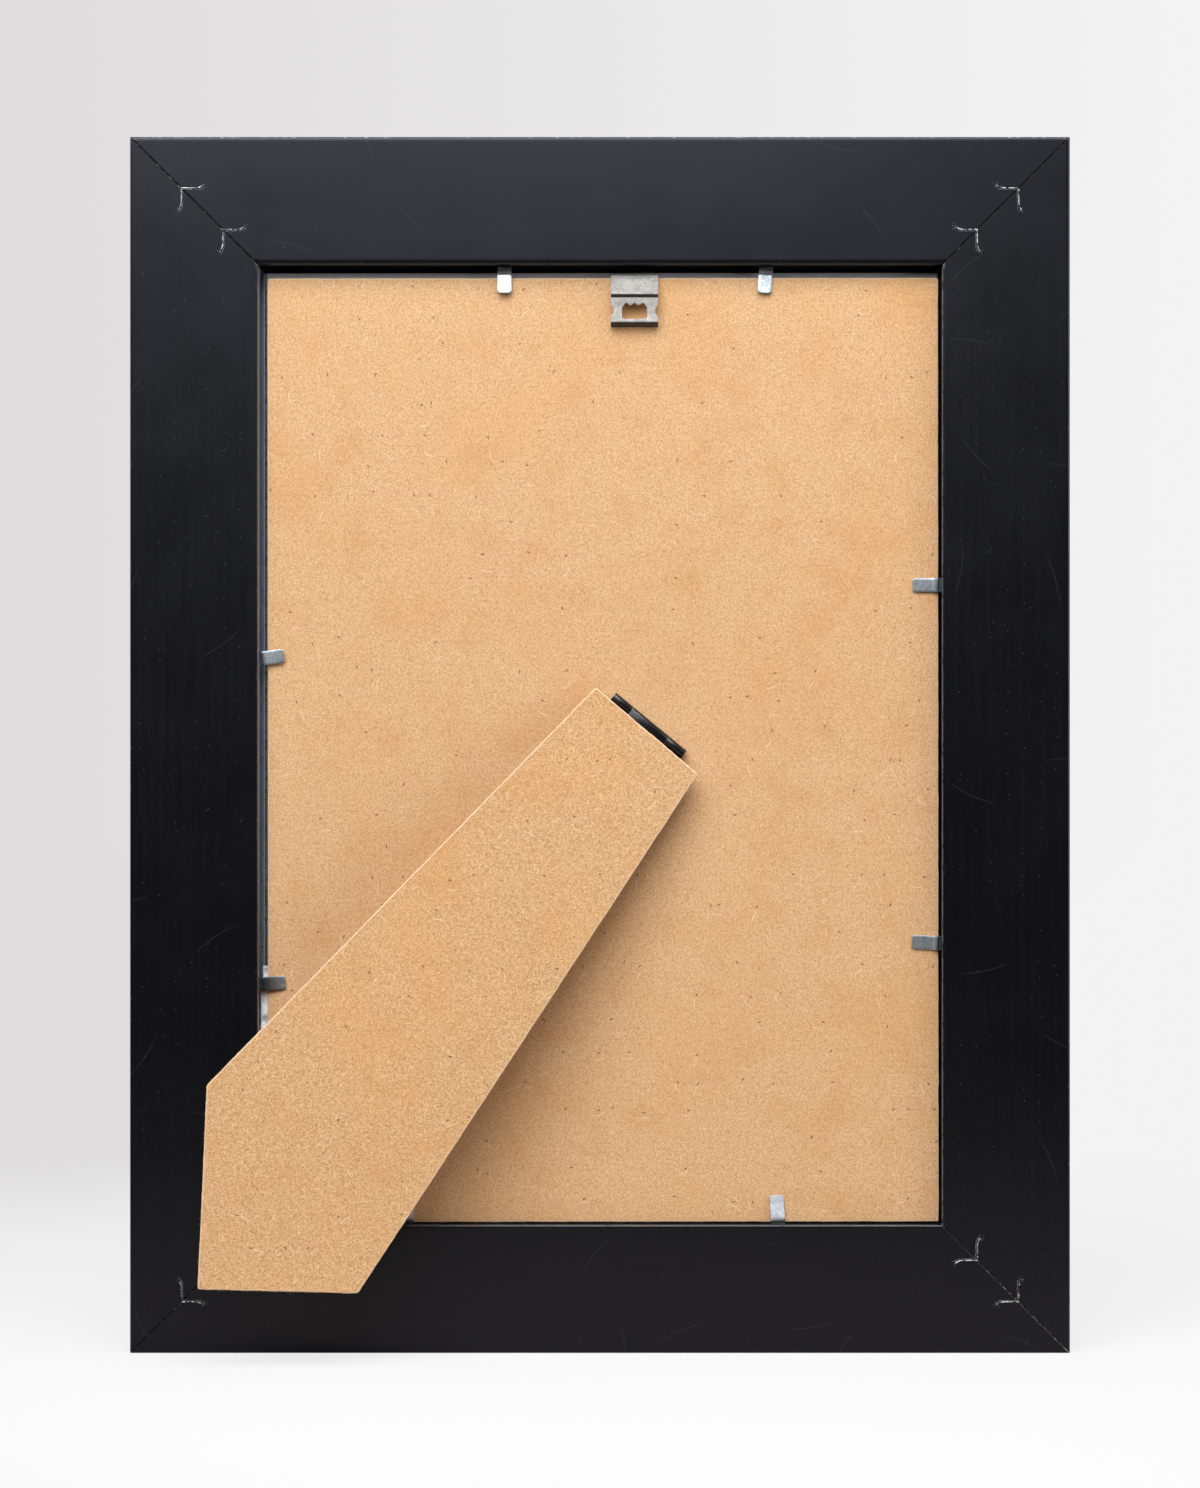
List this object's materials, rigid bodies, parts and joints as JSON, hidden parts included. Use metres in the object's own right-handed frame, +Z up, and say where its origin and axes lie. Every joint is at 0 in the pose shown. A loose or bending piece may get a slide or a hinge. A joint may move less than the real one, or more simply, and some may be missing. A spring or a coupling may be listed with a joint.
{
  "type": "picture frame",
  "caption": "Black mitred picture frame with glass, a fibreboard back held in by bendable steel points, a hinged strut leg for upright or sideways standing and a toothed wall hanger.",
  "frame": {"origin": "middle of the bottom rail's underside, halfway through the moulding's depth", "axes": "+Z up along the portrait frame's long side, +X to the right as seen from behind, the back faces -Y and the glass faces +Y"},
  "size_m": [0.2926, 0.051, 0.3786],
  "materials": {
    "black_painted_moulding": "satin black paint on wood moulding",
    "fibreboard": "bare sanded medium-density fibreboard",
    "zinc_plated_steel": "zinc-plated sheet steel",
    "nail_steel": "bare hardened steel strip",
    "black_steel": "gloss black lacquered sheet steel",
    "clear_glass": "clear float glass",
    "white_paper": "plain white paper"
  },
  "bodies": {
    "frame": {"rail_bottom": "black_painted_moulding", "rail_right": "black_painted_moulding", "rail_top": "black_painted_moulding", "rail_left": "black_painted_moulding", "v_nail_bottom_left_outer": "nail_steel", "v_nail_bottom_left_inner": "nail_steel", "v_nail_bottom_right_outer": "nail_steel", "v_nail_bottom_right_inner": "nail_steel", "v_nail_top_right_outer": "nail_steel", "v_nail_top_right_inner": "nail_steel", "v_nail_top_left_outer": "nail_steel", "v_nail_top_left_inner": "nail_steel", "point_shank_top_left": "zinc_plated_steel", "point_shank_top_right": "zinc_plated_steel", "point_shank_right_upper": "zinc_plated_steel", "point_shank_right_lower": "zinc_plated_steel", "point_shank_bottom_right": "zinc_plated_steel", "point_shank_bottom_left": "zinc_plated_steel", "point_shank_left_lower": "zinc_plated_steel", "point_shank_left_upper": "zinc_plated_steel", "glass_pane": "clear_glass", "insert_sheet": "white_paper", "paper_shim": "white_paper", "backing_board": "fibreboard", "hanger": "zinc_plated_steel", "hinge_leaf_board": "black_steel", "hinge_pin": "black_steel"},
    "strut_leg": {"leg": "fibreboard", "hinge_leaf_leg": "black_steel"},
    "point_top_left": {"point_blade_top_left": "zinc_plated_steel"},
    "point_top_right": {"point_blade_top_right": "zinc_plated_steel"},
    "point_right_upper": {"point_blade_right_upper": "zinc_plated_steel"},
    "point_right_lower": {"point_blade_right_lower": "zinc_plated_steel"},
    "point_bottom_right": {"point_blade_bottom_right": "zinc_plated_steel"},
    "point_bottom_left": {"point_blade_bottom_left": "zinc_plated_steel"},
    "point_left_lower": {"point_blade_left_lower": "zinc_plated_steel"},
    "point_left_upper": {"point_blade_left_upper": "zinc_plated_steel"}
  },
  "joints": [
    {"name": "leg_hinge", "type": "hinge", "parent": "frame", "child": "strut_leg", "pos_m": [0.01506, -0.0065, 0.1953], "axis": [-0.7788, 0, 0.6273], "range_deg": [-6, 22]},
    {"name": "bend_top_left", "type": "hinge", "parent": "frame", "child": "point_top_left", "pos_m": [-0.0298, -0.0059, 0.338], "axis": [-1, 0, 0], "range_deg": [-9, 71]},
    {"name": "bend_top_right", "type": "hinge", "parent": "frame", "child": "point_top_right", "pos_m": [0.05184, -0.0059, 0.338], "axis": [-0.9976, 0, 0.0698], "range_deg": [-5, 75]},
    {"name": "bend_right_upper", "type": "hinge", "parent": "frame", "child": "point_right_upper", "pos_m": [0.1057, -0.0059, 0.2392], "axis": [0, 0, 1], "range_deg": [0, 80]},
    {"name": "bend_right_lower", "type": "hinge", "parent": "frame", "child": "point_right_lower", "pos_m": [0.1057, -0.0059, 0.12743], "axis": [0.0436, 0, 0.999], "range_deg": [0, 80]},
    {"name": "bend_bottom_right", "type": "hinge", "parent": "frame", "child": "point_bottom_right", "pos_m": [0.05556, -0.0059, 0.0406], "axis": [0.9986, 0, 0.0523], "range_deg": [0, 80]},
    {"name": "bend_bottom_left", "type": "hinge", "parent": "frame", "child": "point_bottom_left", "pos_m": [-0.0605, -0.0059, 0.0406], "axis": [1, 0, 0], "range_deg": [0, 80]},
    {"name": "bend_left_lower", "type": "hinge", "parent": "frame", "child": "point_left_lower", "pos_m": [-0.1057, -0.0059, 0.11456], "axis": [0.0732, 0, -0.9973], "range_deg": [0, 80]},
    {"name": "bend_left_upper", "type": "hinge", "parent": "frame", "child": "point_left_upper", "pos_m": [-0.10571, -0.0059, 0.21621], "axis": [0.1392, 0, -0.9903], "range_deg": [-5, 75]}
  ]
}
